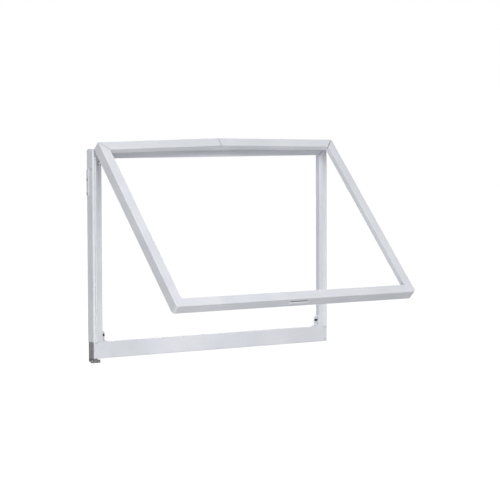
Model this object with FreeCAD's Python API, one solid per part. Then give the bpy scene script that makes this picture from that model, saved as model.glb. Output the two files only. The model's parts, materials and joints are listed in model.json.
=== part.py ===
"""Top-hung outward-opening window: a fixed frame, a sash and a crank drive in the left jamb.

Frame: +X to the right seen from outside, +Y into the wall, +Z up, millimetres.
Origin: middle of the sill's bottom edge, on the wall plane (the back edge of the frame).
The sash is drawn shut and then swung open by REST_OPEN about the hinge line, which is the stored pose.
The crank turns a rod in the left jamb; mitre gears turn a cross shaft; its pinion drives a toothed
quadrant on the sash.
"""
import FreeCAD, Part
import math
import os
from collections import namedtuple
from FreeCAD import Vector

Screw = namedtuple("Screw", "length shank_r head_r head_h")

# ---- driving dimensions -------------------------------------------------------------------------
FRAME_W = 914.0           # overall width of the fixed frame
FRAME_H = 660.0           # overall height of the fixed frame
WALL = 2.0                # wall of every extrusion

FRAME_DEPTH = 36.0        # outer leg, front face to wall plane
FRAME_BOX = 20.0          # depth of the hollow part of the frame profile
JAMB_FACE = 32.0
HEAD_FACE = 30.0
SILL_FACE = 52.0

SASH_MARGIN = 3.0         # frame side to sash side
SASH_DEPTH = 35.0         # outer leg of the sash profile
SASH_BOX = 18.0           # depth of the hollow part of the sash profile
SASH_FACE = 30.0
TOP_FACE = 33.0
TOP_LEG = 27.0            # the top rail's outer leg is cut short for the hinge
CROWN_DEG = 1.5           # each half of the top rail rises this much towards the middle
SEAL_GAP = 7.0            # frame face to the back of the shut sash

EDGE_R = 2.5              # rounding of the sash's outer front corners
FRAME_EDGE_R = 5.0        # rounding of the jambs' outer front corners
FRAME_TOP_R = 5.0         # rounding of the fixed frame's upper corners
CORNER_R = 10.0           # outer radius of the bends at the sash's lower corners
MITRE_GAP = 2.4           # open joint at the upper mitres of frame and sash
JOINT_GAP = 2.4           # open joint in the middle of the top rail
INNER_R = 1.0             # rounding of the inner front corners

REST_OPEN = 43.0          # stored opening angle, degrees
FULL_OPEN = 50.0          # the quadrant's teeth reach this far

PIN_CLEAR = 0.1           # radial clearance of pins, shafts and the hinge bead
FIT = 0.3                 # clearance of pieces that slide into a profile

HINGE_DROP = 4.0          # hinge line below the top of the frame
HINGE_LENGTH = 830.0
BEAD_R = 3.0
SOCKET_WALL = 1.7
SOCKET_OPEN_LOW = -25.0   # the socket's mouth, from straight back, shut
SOCKET_OPEN_HIGH = 75.0
HINGE_WEB = 2.0           # thickness of both rails where they reach the bead
BEAD_LEAF = (14.0, 2.0)   # the frame's leaf, below and above the hinge line
SOCKET_LEAF = (18.0, 1.0)
LEAF = 2.0                # thickness of both leaves
HINGE_SCREW_PITCH = 150.0
HINGE_SCREW_COUNT = 6
HINGE_SCREW_DROP = 8.8    # screws below the hinge line
HINGE_FRAME_SCREW = Screw(8.0, 1.6, 2.9, 1.4)
HINGE_SASH_SCREW = Screw(8.0, 1.6, 3.2, 1.6)

QUAD_MODULE = 0.8
QUAD_TEETH = 108          # on a full circle
PINION_TEETH = 12
MITRE_MODULE = 1.0
MITRE_TEETH = 12
MITRE_FACE = 0.36         # share of the cone length that carries teeth
BACKLASH = 0.16           # circumferential play of a tooth in its gap
TOOTH = math.pi / 2       # tooth thickness on the pitch circle, in modules
DEDENDUM = 1.25           # in modules
PINION_ADDENDUM = 0.95
MITRE_ADDENDUM = 0.9
QUAD_DEDENDUM = 1.2
QUAD_ADDENDUM = 0.75
SPARE_ANGLE = 7.5         # teeth past both ends of the travel, degrees

ROD_R = 3.0
SHAFT_R = 2.0
ROD_INSET = 11.0          # drive rod's axis from the frame's side
QUAD_THICK = 4.0
QUAD_INSET = 21.0         # quadrant's middle plane from the frame's side
QUAD_BAND = 5.0           # depth of the arc below its teeth
QUAD_FOOT = (10.0, 16.0, 28.0, 3.0)   # edge left of the arc's middle, width, height, thickness
QUAD_RIB = (16.0, 4.5)    # height, thickness
QUAD_SCREW_SIDE = 5.4     # screws from the arc's middle plane
QUAD_SCREW_PITCH = 20.0
QUAD_SCREW = Screw(9.0, 1.5, 2.8, 1.4)
SLOT_CLEAR = 1.2          # jamb slot to the quadrant's sides
SLOT_BAND = (8.0, 2.4)    # jamb slot inside and outside the pitch circle
PINION_LENGTH = 6.0
SHAFT_HUB_R = 3.6
ROD_HUB_R = 4.2
ROD_HUB_LENGTH = 5.0
COLLAR_R = 5.5
COLLAR_LENGTH = 6.0
COLLAR_Z = 24.0           # collar's lower face

CRANK_SPAN = 34.0
CRANK_DROP = 14.0         # how far the crank hangs below the sill
CRANK_GAP = 1.5           # top of the crank's hub below the sill
CRANK_HUB_R = 7.0
CRANK_WING_R = 4.6        # round ends of the wings, and half their height
CRANK_WING_HALF = 3.4     # half the wings' thickness
CRANK_END = 2.0           # solid bottom under the rod
SHAFT_END_GAP = 0.4       # rod's top end to the cone of the mitre gears' small ends
SET_SCREW_R = 1.5
SET_SCREW_DROP = 5.0      # set screw below the sill
SET_SCREW_SINK = 0.4      # set screw below the hub's surface

HOUSING_W = 30.0
HOUSING_WALL = 3.0
HOUSING_R = 2.0           # rounding of the outer upright edges
HOUSING_LIP = (4.0, 13.0)     # lip behind the crank: thickness, depth below the sill
HOUSING_HEEL_R = 6.5          # rounding of the lip's lower back edge
HOUSING_BACK = 1.5        # housing's back from the wall plane
HOUSING_SCREWS_Z = (7.0, 44.0)
HOUSING_SCREW_IN = 7.0    # screws from the housing's back
HOUSING_SCREW = Screw(6.0, 1.5, 2.9, 1.4)
HOUSING_SLOT = (6.0, 10.0, 12.0, 26.0)    # y from the rod's axis, from and to; z from and to
BUSH_R = 4.2
BUSH_LENGTH = 7.0
BUSH_FLANGE = 1.2         # flange's thickness, and how far it stands out
BLOCK_FLOOR = 4.0
BLOCK_WALL = 3.0
BLOCK_RISE = 7.0          # block's wall above the cross shaft
BLOCK_DROP = 6.0          # block's floor below the mitre gear's back
BLOCK_SCREW = Screw(6.0, 1.4, 2.7, 1.3)

# ---- smaller fittings ----------------------------------------------------------------------------
WALL_HOLE_R = 2.5
WALL_HOLE_Z = (130.0, 470.0)
WEEP_R = 1.5              # drain hole in the sill's face
WEEP_INSET = 8.0
STILE_HOLE_R = 2.0
STILE_HOLE_UP = 12.0      # above the bottom rail

FRAME_KEY_LEG = (36.0, 32.0)   # along the head, along the jamb
SASH_KEY_LEG = 44.0
KEY_WIDTH = 12.0
SPLICE_LEG = 60.0

SEAL_W = 6.0
SEAL_CLEAR = 0.4          # bulb to the shut sash
SEAL_BASE = 1.2
SEAL_SIDE = 0.3           # seal to the frame's rounded edge
SEAL_TOP = 20.0           # seal's top end below the hinge line

PULL_HALF = 36.5          # half the grip's length
PULL_SLOT_HALF = 33.5
PULL_SLOT = (10.4, 15.0)  # slot behind the sash's front, from and to
PULL_GRIP = (15.6, 26.0)
PULL_DROP = 3.2           # how far the grip stands under the rail
PULL_RAMP = (8.0, 0.8)    # sloped ends of the grip: length, and height left at the end
PULL_SCREW_T = 21.6
PULL_SCREWS_X = (-22.0, 22.0)
PULL_SCREW = Screw(3.0, 1.5, 2.8, 1.4)

BRACKET_H = 38.0
BRACKET_REACH = 14.0
BRACKET_FOOT = 20.0
BRACKET_THICK = 2.0
BRACKET_SNIP = (5.0, 9.0)     # corner cut off the ear, along x and z
BRACKET_FRONT = 4.0           # bracket's front edge behind the frame's
EAR_BACK = 12.0               # ear behind the frame's front
BRACKET_SCREWS_UP = (9.0, 30.0)
BRACKET_SCREW_OUT = 11.0
BRACKET_SCREW_BACK = 8.0
BRACKET_SCREW = Screw(6.0, 1.4, 2.6, 1.2)
BUMPER_R = 4.6
BUMPER_TAPER = 1.4
BUMPER_LENGTH = 6.0
BUMPER_STEM_R = 2.5
BUMPER_BUTTON = (1.1, 1.6)    # how far the button stands out, thickness
BUMPER_SIDE = 1.2             # bumper to the bracket's upright
BUMPER_UP = 0.55              # share of the bracket's height

STRAP_Z0, STRAP_Z1 = 514.0, 596.0
STRAP_W = 12.0
STRAP_THICK = 2.0
STRAP_SCREWS_Z = (520.0, 564.0)
STRAP_SCREW = Screw(5.0, 1.6, 3.6, 1.8)

# ---- derived places ------------------------------------------------------------------------------
HALF_W = FRAME_W / 2
FRONT = -FRAME_DEPTH
BOX_BACK = FRONT + FRAME_BOX
BOX_MID_Y = FRONT + FRAME_BOX / 2
SASH_HALF = HALF_W - SASH_MARGIN
SASH_BACK = FRONT - SEAL_GAP
SASH_FRONT = SASH_BACK - SASH_DEPTH
SASH_BOX_BACK = SASH_FRONT + SASH_BOX
HINGE = Vector(0, SASH_BACK, FRAME_H - HINGE_DROP)

ROD_X = -HALF_W + ROD_INSET
QUAD_X = -HALF_W + QUAD_INSET
QUAD_R = QUAD_MODULE * QUAD_TEETH / 2
PINION_R = QUAD_MODULE * PINION_TEETH / 2
MITRE_R = MITRE_MODULE * MITRE_TEETH / 2
MESH_DISTANCE = QUAD_R + PINION_R
SHAFT_Z = HINGE.z - math.sqrt(MESH_DISTANCE**2 - (BOX_MID_Y - HINGE.y) ** 2)
MESH_ANGLE = math.degrees(math.atan2(SHAFT_Z - HINGE.z, BOX_MID_Y - HINGE.y))
HOUSING_X1 = -HALF_W + HOUSING_W
BLOCK_X1 = -HALF_W + JAMB_FACE - WALL - FIT
HINGE_SCREWS_X = [(i - (HINGE_SCREW_COUNT - 1) / 2) * HINGE_SCREW_PITCH for i in range(HINGE_SCREW_COUNT)]

parts = {}


# ---- small tools ---------------------------------------------------------------------------------
def box(x0, x1, y0, y1, z0, z1):
    return Part.makeBox(x1 - x0, y1 - y0, z1 - z0, Vector(x0, y0, z0))


def rod(radius, start, direction, length):
    return Part.makeCylinder(radius, length, Vector(*start), Vector(*direction))


def prism(points, direction):
    """Solid swept along direction from a closed outline of points."""
    wire = Part.makePolygon([Vector(*p) for p in points] + [Vector(*points[0])])
    return Part.Face(wire).extrude(Vector(*direction))


def mirror_x(shape):
    return shape.mirror(Vector(0, 0, 0), Vector(1, 0, 0))


def turned(shape, degrees, centre=HINGE, axis=Vector(1, 0, 0)):
    copy = shape.copy()
    copy.rotate(centre, axis, degrees)
    return copy


def opened(shape):
    """Swings a piece of the shut sash to the stored pose."""
    return turned(shape, -REST_OPEN)


def drill(hole, *names):
    """Cuts a hole through the named pieces."""
    for name in names:
        parts[name] = parts[name].cut(hole)


def group(shapes):
    return Part.makeCompound(shapes)


def screw(size, head, direction):
    """Pan-head screw whose head sits on the point head and whose shank runs along direction."""
    axis = Vector(*direction).normalize()
    base = Vector(*head)
    top = base - axis * size.head_h
    body = Part.makeCylinder(size.shank_r, size.length, base, axis)
    cap = Part.makeCylinder(size.head_r, size.head_h, top, axis)
    rim = [e for e in cap.Edges if isinstance(e.Curve, Part.Circle) and (e.Curve.Center - top).Length < 1e-6]
    cap = cap.makeFillet(0.64 * size.head_h, rim)
    reach, half, depth = size.head_r * 0.65, size.head_r * 0.15, size.head_h * 0.5
    slot = Part.makeBox(2 * reach, 2 * half, depth, Vector(-reach, -half, 0))
    cross = slot.fuse(turned(slot, 90, Vector(0, 0, 0), Vector(0, 0, 1)))
    cross.Placement = FreeCAD.Placement(top, FreeCAD.Rotation(Vector(0, 0, 1), axis))
    return cap.fuse(body).cut(cross).removeSplitter()


def screw_hole(size, head, direction, spare=2.0):
    """Hole of a screw's shank, a little longer than the shank at both ends."""
    axis = Vector(*direction).normalize()
    return Part.makeCylinder(size.shank_r, size.length + 2 * spare, Vector(*head) - axis * spare, axis)


# ---- profiles ------------------------------------------------------------------------------------
def profile_face(face, box_depth, leg_depth, place, edge_r=EDGE_R):
    """Hollow box with an outer leg. place(w, t) puts a point that lies w in from the outer side and t
    behind the front face into the model."""
    def corner(before, middle, after):
        return Part.Arc(place(*before), place(*middle), place(*after)).toShape()

    def line(a, b):
        return Part.LineSegment(place(*a), place(*b)).toShape()

    r, q = edge_r, INNER_R
    k = 1 - math.sqrt(0.5)
    outline = [
        corner((0, r), (k * r, k * r), (r, 0)),
        line((r, 0), (face - q, 0)),
        corner((face - q, 0), (face - k * q, k * q), (face, q)),
        line((face, q), (face, box_depth)),
        line((face, box_depth), (WALL, box_depth)),
        line((WALL, box_depth), (WALL, leg_depth)),
        line((WALL, leg_depth), (0, leg_depth)),
        line((0, leg_depth), (0, r)),
    ]
    hole = [(WALL, WALL), (face - WALL, WALL), (face - WALL, box_depth - WALL), (WALL, box_depth - WALL)]
    inner = Part.makePolygon([place(*p) for p in hole + hole[:1]])
    return Part.Face(Part.Wire(outline)).cut(Part.Face(inner)).Faces[0]


def outline_prism(points):
    """Everything behind and in front of an XZ outline, for cutting members to length."""
    reach = 2 * (FRAME_DEPTH + SEAL_GAP + SASH_DEPTH)
    return prism([(x, -reach, z) for x, z in points], (0, 2 * reach, 0))


# ---- fixed frame ---------------------------------------------------------------------------------
def jamb_mitre(side):
    return [(side * HALF_W, FRAME_H), (side * (HALF_W - JAMB_FACE), FRAME_H - HEAD_FACE)]


def moved_in(mitre, side):
    """A mitre line moved towards the middle by the open joint."""
    return [(x - side * MITRE_GAP, z) for x, z in mitre]


def jamb_blank(bottom):
    face = profile_face(JAMB_FACE, FRAME_BOX, FRAME_DEPTH,
                        lambda w, t: Vector(-HALF_W + w, FRONT + t, bottom), FRAME_EDGE_R)
    outline = [(-HALF_W, bottom), (-HALF_W + JAMB_FACE, bottom)] + jamb_mitre(-1)[::-1]
    return face.extrude(Vector(0, 0, FRAME_H - bottom)).common(outline_prism(outline))


def wall_holes():
    """Holes for the wall screws, through both outer legs."""
    y = BOX_BACK / 2
    return [rod(WALL_HOLE_R, (-HALF_W - 5, y, z), (1, 0, 0), FRAME_W + 10) for z in WALL_HOLE_Z]


def quadrant_slots():
    """Clear way for the quadrant through the front and back walls of the left jamb."""
    low, high = QUAD_R - SLOT_BAND[0], QUAD_R + SLOT_BAND[1]
    side = QUAD_THICK / 2 + SLOT_CLEAR
    start = (QUAD_X - side, HINGE.y, HINGE.z)
    ring = rod(high, start, (1, 0, 0), 2 * side).cut(rod(low, start, (1, 0, 0), 2 * side))
    keep = box(QUAD_X - 2 * side, QUAD_X + 2 * side, HINGE.y, HINGE.y + 2 * QUAD_R,
               HINGE.z - 2 * QUAD_R, HINGE.z - QUAD_R * 0.4)
    return ring.common(keep)


def frame_top_corner():
    """What the rounding takes off the frame's upper left corner."""
    x, z, r = -HALF_W + FRAME_TOP_R, FRAME_H - FRAME_TOP_R, FRAME_TOP_R
    block = box(x - r - 1, x, FRONT - 1, 1, z, z + r + 1)
    return block.cut(rod(r, (x, FRONT - 2, z), (0, 1, 0), FRAME_DEPTH + 4))


def make_frame():
    left = jamb_blank(SILL_FACE).cut(quadrant_slots())
    right = mirror_x(jamb_blank(0))
    right = right.cut(box(0, HALF_W - WALL, FRONT - 1, 1, -1, SILL_FACE))
    head = profile_face(HEAD_FACE, FRAME_BOX, FRAME_DEPTH,
                        lambda w, t: Vector(-HALF_W, FRONT + t, FRAME_H - w))
    head = head.extrude(Vector(FRAME_W, 0, 0))
    ends = [moved_in(jamb_mitre(side), side) for side in (-1, 1)]
    head = head.common(outline_prism(ends[0] + ends[1][::-1]))
    sill = profile_face(SILL_FACE, FRAME_BOX, FRAME_DEPTH,
                        lambda w, t: Vector(-HALF_W, FRONT + t, w))
    sill = sill.extrude(Vector(FRAME_W - WALL, 0, 0))
    sill = sill.cut(rod(WEEP_R, (HALF_W - WEEP_INSET, FRONT - 1, WEEP_INSET), (0, 1, 0), WALL + 1))
    notch = box(-HALF_W - 1, HOUSING_X1 + FIT, FRONT + WALL, 1, -1, SILL_FACE + 1)
    sill = sill.cut(notch)
    for hole in wall_holes():
        left = left.cut(hole)
        right = right.cut(hole)
    corner = frame_top_corner()
    left, head = left.cut(corner), head.cut(corner)
    right, head = right.cut(mirror_x(corner)), head.cut(mirror_x(corner))
    parts["frame_jamb_left"] = left
    parts["frame_jamb_right"] = right
    parts["frame_head"] = head
    parts["frame_sill"] = sill


def frame_key(side):
    """Corner key inside the mitre of head and jamb."""
    x0, z1 = HALF_W - WALL - FIT, FRAME_H - WALL - FIT
    y0, y1 = FRONT + WALL + FIT, BOX_BACK - WALL - FIT
    along_head, along_jamb = FRAME_KEY_LEG
    upright = box(x0 - KEY_WIDTH, x0, y0, y1, z1 - along_jamb, z1)
    level = box(x0 - along_head, x0, y0, y1, z1 - KEY_WIDTH, z1)
    key = upright.fuse(level).removeSplitter()
    return key if side > 0 else mirror_x(key)


def seal(length):
    """Bulb strip along +Z with its base on y = 0 and its bulb towards -Y."""
    height = SEAL_GAP - SEAL_CLEAR
    bulb_r = SEAL_W / 2
    stem_r = bulb_r * 0.55
    base = box(-bulb_r, bulb_r, -SEAL_BASE, 0, 0, length)
    stem = box(-stem_r, stem_r, -height + bulb_r, 0, 0, length)
    bulb = rod(bulb_r, (0, -height + bulb_r, 0), (0, 0, 1), length)
    bore = rod(bulb_r - 1.0, (0, -height + bulb_r, 0), (0, 0, 1), length)
    return base.fuse(stem).fuse(bulb).cut(bore).removeSplitter()


def make_seals():
    inset = FRAME_EDGE_R + SEAL_W / 2 + SEAL_SIDE
    left = seal(HINGE.z - SEAL_TOP - SILL_FACE)
    left.translate(Vector(-HALF_W + inset, FRONT, SILL_FACE))
    parts["seal_left"] = left
    parts["seal_right"] = mirror_x(left)


# ---- hinge ---------------------------------------------------------------------------------------
def make_hinge():
    half = HINGE_LENGTH / 2
    start = (-half, HINGE.y, HINGE.z)
    web = HINGE_WEB / 2
    leaf = box(-half, half, FRONT - LEAF, FRONT, HINGE.z - BEAD_LEAF[0], HINGE.z + BEAD_LEAF[1])
    neck = box(-half, half, HINGE.y, FRONT - LEAF, HINGE.z - web, HINGE.z + web)
    bead = rod(BEAD_R, start, (1, 0, 0), HINGE_LENGTH)
    parts["hinge_bead_rail"] = leaf.fuse(neck).fuse(bead).removeSplitter()

    inner = BEAD_R + PIN_CLEAR
    outer = inner + SOCKET_WALL
    ring = rod(outer, start, (1, 0, 0), HINGE_LENGTH)
    arm = box(-half, half, SASH_BOX_BACK, HINGE.y - inner, HINGE.z - web, HINGE.z + web)
    flange = box(-half, half, SASH_BOX_BACK, SASH_BOX_BACK + LEAF,
                 HINGE.z - SOCKET_LEAF[0], HINGE.z + SOCKET_LEAF[1])
    body = ring.fuse(arm).fuse(flange).cut(rod(inner, start, (1, 0, 0), HINGE_LENGTH))
    far = 4 * outer
    low, high = math.radians(SOCKET_OPEN_LOW), math.radians(SOCKET_OPEN_HIGH)
    mouth = prism([start,
                   (-half, HINGE.y + far * math.cos(low), HINGE.z + far * math.sin(low)),
                   (-half, HINGE.y + far, HINGE.z + far),
                   (-half, HINGE.y + far * math.cos(high), HINGE.z + far * math.sin(high))],
                  (HINGE_LENGTH, 0, 0))
    parts["hinge_socket_rail"] = opened(body.cut(mouth).removeSplitter())

    z = HINGE.z - HINGE_SCREW_DROP
    frame_screws, sash_screws = [], []
    for x in HINGE_SCREWS_X:
        on_frame = ((x, FRONT - LEAF, z), (0, 1, 0))
        on_sash = ((x, SASH_BOX_BACK + LEAF, z), (0, -1, 0))
        frame_screws.append(screw(HINGE_FRAME_SCREW, *on_frame))
        sash_screws.append(screw(HINGE_SASH_SCREW, *on_sash))
        rail = "sash_top_rail_left" if x < 0 else "sash_top_rail_right"
        drill(screw_hole(HINGE_FRAME_SCREW, *on_frame), "frame_head", "hinge_bead_rail")
        drill(opened(screw_hole(HINGE_SASH_SCREW, *on_sash)), "hinge_socket_rail", rail)
    parts["hinge_frame_screws"] = group(frame_screws)
    parts["hinge_sash_screws"] = opened(group(sash_screws))


# ---- sash ----------------------------------------------------------------------------------------
def sash_mitre_top(side):
    return [(side * SASH_HALF, FRAME_H), (side * (SASH_HALF - SASH_FACE), FRAME_H - TOP_FACE)]


def sash_stile():
    face = profile_face(SASH_FACE, SASH_BOX, SASH_DEPTH,
                        lambda w, t: Vector(-SASH_HALF + w, SASH_FRONT + t, 0))
    outline = [(-SASH_HALF, 0), (-SASH_HALF + SASH_FACE, SASH_FACE)] + sash_mitre_top(-1)[::-1]
    stile = with_bend(face.extrude(Vector(0, 0, FRAME_H))).common(outline_prism(outline))
    inner_x = -SASH_HALF + SASH_FACE
    hole = rod(STILE_HOLE_R, (inner_x - WALL - 1, SASH_FRONT + SASH_BOX / 2, SASH_FACE + STILE_HOLE_UP),
               (1, 0, 0), WALL + 2)
    return stile.cut(hole)


def with_bend(member):
    """Replaces the lower left corner of a sash member by the profile bent round it."""
    x, r = -SASH_HALF, CORNER_R
    corner = box(x - 1, x + r, SASH_FRONT - 1, SASH_BACK + 1, -1, r)
    face = profile_face(SASH_FACE, SASH_BOX, SASH_DEPTH, lambda w, t: Vector(x + w, SASH_FRONT + t, r))
    section = face.common(box(x - 1, x + r, SASH_FRONT - 1, SASH_BACK + 1, r - 1, r + 1)).Faces[0]
    bend = section.revolve(Vector(x + r, 0, r), Vector(0, 1, 0), -90)
    return member.cut(corner).fuse(bend).removeSplitter()


def crown(shape):
    """Tilts a piece of the top rail's left half up towards the middle."""
    return turned(shape, -CROWN_DEG, Vector(-SASH_HALF, 0, FRAME_H), Vector(0, 1, 0))


def top_rail_half():
    face = profile_face(TOP_FACE, SASH_BOX, TOP_LEG,
                        lambda w, t: Vector(-SASH_HALF - 5, SASH_FRONT + t, FRAME_H - w))
    bar = crown(face.extrude(Vector(SASH_HALF + 15, 0, 0)))
    mitre = moved_in(sash_mitre_top(-1), -1)
    above = 2 * FRAME_H
    outline = mitre + [(-JOINT_GAP / 2, FRAME_H - TOP_FACE), (-JOINT_GAP / 2, above), (mitre[0][0], above)]
    return bar.common(outline_prism(outline))


def sash_bottom():
    face = profile_face(SASH_FACE, SASH_BOX, SASH_DEPTH,
                        lambda w, t: Vector(-SASH_HALF, SASH_FRONT + t, w))
    outline = [(-SASH_HALF, 0), (0, 0), (0, SASH_FACE), (-SASH_HALF + SASH_FACE, SASH_FACE)]
    half = with_bend(face.extrude(Vector(SASH_HALF, 0, 0))).common(outline_prism(outline))
    rail = half.fuse(mirror_x(half)).removeSplitter()
    slot = box(-PULL_SLOT_HALF, PULL_SLOT_HALF, SASH_FRONT + PULL_SLOT[0], SASH_FRONT + PULL_SLOT[1],
               -1, WALL + 1)
    return rail.cut(slot)


def finger_pull():
    """Rounded grip bar behind the finger slot, under the bottom rail."""
    front, back = (SASH_FRONT + t for t in PULL_GRIP)
    a, b = Vector(-PULL_HALF, front, 0), Vector(-PULL_HALF, back, 0)
    middle = Vector(-PULL_HALF, (front + back) / 2, -PULL_DROP)
    wire = Part.Wire([Part.Arc(a, middle, b).toShape(), Part.LineSegment(b, a).toShape()])
    grip = Part.Face(wire).extrude(Vector(2 * PULL_HALF, 0, 0))
    ramp, left_over = PULL_RAMP
    for side in (-1, 1):
        end = prism([(side * PULL_HALF, front - 1, -2 * PULL_DROP),
                     (side * (PULL_HALF - ramp), front - 1, -2 * PULL_DROP),
                     (side * PULL_HALF, front - 1, -left_over)], (0, back - front + 2, 0))
        grip = grip.cut(end)
    return grip


def sash_key(row, side):
    """Corner key inside a sash mitre; the lower ones follow the bend."""
    inset = WALL + FIT
    x0 = SASH_HALF - inset
    y0, y1 = SASH_FRONT + inset, SASH_BOX_BACK - inset
    low = FRAME_H - inset - SASH_KEY_LEG if row == "top" else inset
    level_low = FRAME_H - inset - KEY_WIDTH if row == "top" else inset
    upright = box(x0 - KEY_WIDTH, x0, y0, y1, low, low + SASH_KEY_LEG)
    level = box(x0 - SASH_KEY_LEG, x0, y0, y1, level_low, level_low + KEY_WIDTH)
    key = upright.fuse(level).removeSplitter()
    if row == "bottom":
        r = CORNER_R - inset
        square = box(x0 - r, x0 + 1, y0 - 1, y1 + 1, low - 1, low + r)
        key = key.cut(square.cut(rod(r, (x0 - r, y0 - 2, low + r), (0, 1, 0), y1 - y0 + 4)))
    return key if side > 0 else mirror_x(key)


def make_sash():
    left = sash_stile()
    parts["sash_stile_left"] = opened(left)
    parts["sash_stile_right"] = opened(mirror_x(left))
    half = top_rail_half()
    parts["sash_top_rail_left"] = opened(half)
    parts["sash_top_rail_right"] = opened(mirror_x(half))
    parts["sash_bottom_rail"] = opened(sash_bottom())
    parts["sash_finger_pull"] = opened(finger_pull())
    spots = [((x, SASH_FRONT + PULL_SCREW_T, WALL), (0, 0, -1)) for x in PULL_SCREWS_X]
    parts["finger_pull_screws"] = opened(group([screw(PULL_SCREW, *spot) for spot in spots]))
    for spot in spots:
        drill(opened(screw_hole(PULL_SCREW, *spot)), "sash_bottom_rail", "sash_finger_pull")
    for row in ("top", "bottom"):
        for name, side in (("left", -1), ("right", 1)):
            parts[f"sash_key_{row}_{name}"] = opened(sash_key(row, side))
    inset = WALL + FIT
    bar = box(-SPLICE_LEG, SPLICE_LEG, SASH_FRONT + inset, SASH_BOX_BACK - inset,
              FRAME_H - TOP_FACE + inset, FRAME_H - inset)
    left_half = [(-2 * SPLICE_LEG, 0), (0, 0), (0, 2 * FRAME_H), (-2 * SPLICE_LEG, 2 * FRAME_H)]
    bar = crown(bar).common(outline_prism(left_half))
    parts["top_rail_splice"] = opened(bar.fuse(mirror_x(bar)).removeSplitter())


# ---- gears ---------------------------------------------------------------------------------------
def tooth(pitch_r, root_r, tip_r, thickness):
    """Flank of one involute tooth that points along +x: (radius, half angle) pairs, root to tip."""
    pressure = math.radians(20)
    base_r = pitch_r * math.cos(pressure)

    def spread(radius):
        if radius <= base_r:
            return 0.0
        roll = math.acos(base_r / radius)
        return math.tan(roll) - roll

    at_base = thickness / (2 * pitch_r) + spread(pitch_r)
    start = max(root_r, base_r)
    rows = [] if start == root_r else [(root_r, at_base)]
    steps = 4
    for i in range(steps + 1):
        radius = start + (tip_r - start) * i / steps
        rows.append((radius, at_base - spread(radius)))
    return rows


def outline_from(flank, teeth, phase, first, count):
    """Points of a run of teeth, counter-clockwise; phase is the angle of tooth number 0 in degrees."""
    points = []
    for i in range(first, first + count):
        middle = math.radians(phase) + i * 2 * math.pi / teeth
        points += [(r, middle - a) for r, a in flank]
        points += [(r, middle + a) for r, a in reversed(flank)]
    return [(r * math.cos(a), r * math.sin(a)) for r, a in points]


def gear_outline(pitch_r, teeth, root_r, tip_r, thickness, phase, first=0, count=None):
    return outline_from(tooth(pitch_r, root_r, tip_r, thickness), teeth, phase, first, count or teeth)


def make_cross_shaft():
    """Pinion, mitre gear and shaft, along X at the height of the mesh."""
    m = QUAD_MODULE
    facing = MESH_ANGLE + 180
    outline = gear_outline(PINION_R, PINION_TEETH, PINION_R - DEDENDUM * m, PINION_R + PINION_ADDENDUM * m,
                           TOOTH * m - BACKLASH / 2, facing)
    x0 = QUAD_X - PINION_LENGTH / 2
    pinion = prism([(x0, BOX_MID_Y + a, SHAFT_Z + b) for a, b in outline], (PINION_LENGTH, 0, 0))
    bore = rod(SHAFT_R, (ROD_X, BOX_MID_Y, SHAFT_Z), (1, 0, 0), BLOCK_X1 - ROD_X)
    parts["drive_pinion"] = pinion.cut(bore)
    gear = mitre_gear(0.5)
    gear.rotate(Vector(0, 0, 0), Vector(0, 1, 0), 90)
    gear.translate(Vector(ROD_X, BOX_MID_Y, SHAFT_Z))
    hub_x = ROD_X + MITRE_R
    hub = rod(SHAFT_HUB_R, (hub_x, BOX_MID_Y, SHAFT_Z), (1, 0, 0), x0 - hub_x - PIN_CLEAR)
    parts["shaft_mitre_gear"] = gear.fuse(hub).cut(bore)
    start = ROD_X + MITRE_R * (1 - MITRE_FACE)
    parts["cross_shaft"] = rod(SHAFT_R, (start, BOX_MID_Y, SHAFT_Z), (1, 0, 0), BLOCK_X1 - FIT - start)


def mitre_outline(phase):
    """Tooth outline of a 45 degree bevel gear in the plane of its pitch circle, from the spur gear
    that its back cone unrolls to."""
    m = MITRE_MODULE
    back_r = MITRE_R * math.sqrt(2)
    rows = tooth(back_r, back_r - DEDENDUM * m, back_r + MITRE_ADDENDUM * m, TOOTH * m - BACKLASH)
    flank = []
    for radius, half_angle in rows:
        rise = (radius - back_r) / math.sqrt(2)
        ring_r = MITRE_R + rise
        flank.append((ring_r * MITRE_R / (MITRE_R - rise), half_angle * radius / ring_r))
    return outline_from(flank, MITRE_TEETH, phase, 0, MITRE_TEETH)


def mitre_gear(phase_teeth):
    """Bevel gear of 45 degrees along +Z with its cone's tip at the origin."""
    outline = mitre_outline(360.0 / MITRE_TEETH * phase_teeth)
    small = 1 - MITRE_FACE
    big = Part.makePolygon([Vector(a, b, MITRE_R) for a, b in outline + outline[:1]])
    little = Part.makePolygon([Vector(a * small, b * small, MITRE_R * small)
                               for a, b in outline + outline[:1]])
    return Part.makeLoft([big, little], True, True)


def make_drive_rod():
    gear = mitre_gear(0.0)
    gear.rotate(Vector(0, 0, 0), Vector(1, 0, 0), 180)
    gear.translate(Vector(ROD_X, BOX_MID_Y, SHAFT_Z))
    top = SHAFT_Z - MITRE_R
    hub = rod(ROD_HUB_R, (ROD_X, BOX_MID_Y, top - ROD_HUB_LENGTH), (0, 0, 1), ROD_HUB_LENGTH)
    bore = rod(ROD_R, (ROD_X, BOX_MID_Y, 0), (0, 0, 1), SHAFT_Z)
    parts["rod_mitre_gear"] = gear.fuse(hub).cut(bore)
    rod_low = CRANK_END - CRANK_DROP
    rod_top = SHAFT_Z - MITRE_R * (1 - MITRE_FACE) - SHAFT_END_GAP
    parts["drive_rod"] = rod(ROD_R, (ROD_X, BOX_MID_Y, rod_low), (0, 0, 1), rod_top - rod_low)
    parts["rod_collar"] = rod(COLLAR_R, (ROD_X, BOX_MID_Y, COLLAR_Z), (0, 0, 1), COLLAR_LENGTH).cut(bore)


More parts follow.
